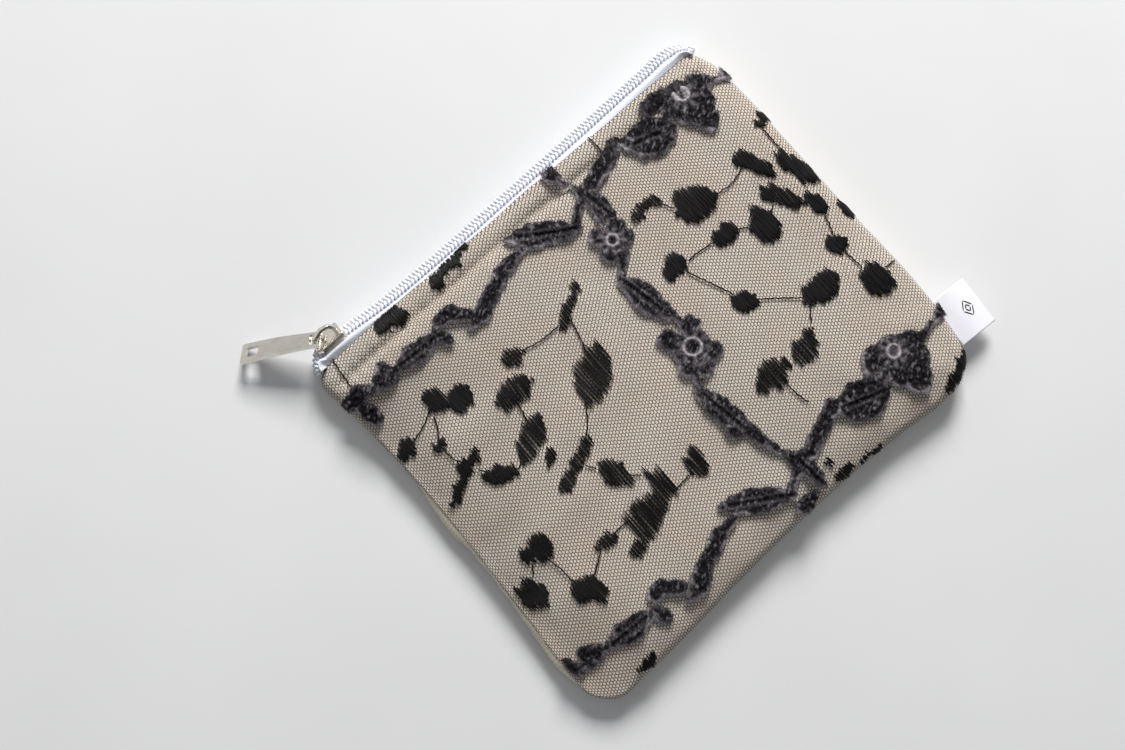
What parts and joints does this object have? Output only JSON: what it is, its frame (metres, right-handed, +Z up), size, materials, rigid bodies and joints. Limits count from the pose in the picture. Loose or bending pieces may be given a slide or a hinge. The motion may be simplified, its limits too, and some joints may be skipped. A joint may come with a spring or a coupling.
{
  "type": "zippered pouch",
  "caption": "Small padded cloth pouch with a lace-covered front, closed along one long edge by a coil zipper with a swinging metal pull and carrying a folded side label.",
  "frame": {"origin": "middle of the back panel's flat resting face", "axes": "+X along the zipper from the closed end to the open end, +Y out of the mouth, +Z up through the front panel"},
  "size_m": [0.1529, 0.1298, 0.0121],
  "materials": {
    "beige_cloth": "matte plain weave",
    "black_net": "matte hexagonal tulle",
    "grey_felt": "fuzzy velvet felt",
    "black_thread": "satin stitch",
    "batting": "soft fleece",
    "lining": "matte cotton",
    "cream_cloth": "matte cotton",
    "zipper_tape": "herringbone woven tape",
    "coil_nylon": "glossy monofilament",
    "nickel": "polished nickel",
    "label_satin": "satin ribbon",
    "seam_thread": "spun thread"
  },
  "bodies": {
    "pouch": {"front_cloth": "beige_cloth", "front_net": "black_net", "top_felt_chain": "grey_felt", "bottom_felt_chain": "grey_felt", "felt_column": "grey_felt", "satin_stitching": "black_thread", "front_batting": "batting", "front_lining": "lining", "back_cloth": "cream_cloth", "back_batting": "batting", "back_lining": "lining", "front_tape": "zipper_tape", "back_tape": "zipper_tape", "front_coil": "coil_nylon", "back_coil": "coil_nylon", "side_label": "label_satin", "left_seam_thread": "seam_thread", "right_seam_thread": "seam_thread", "bottom_seam_thread": "seam_thread", "lining_seam_thread": "seam_thread", "front_tape_thread": "seam_thread", "back_tape_thread": "seam_thread"},
    "slider": {"slider_body": "nickel", "slider_crown": "nickel"},
    "pull": {"pull_tab": "nickel"}
  },
  "joints": [
    {"name": "slider_travel", "type": "slide", "parent": "pouch", "child": "slider", "axis": [1, 0, 0], "range_m": [0, 0.11]},
    {"name": "pull_swing", "type": "hinge", "parent": "slider", "child": "pull", "pos_m": [-0.0587, 0.05852, 0.0085], "axis": [0.5678, 0.6306, -0.5291], "range_deg": [0, 75]}
  ]
}
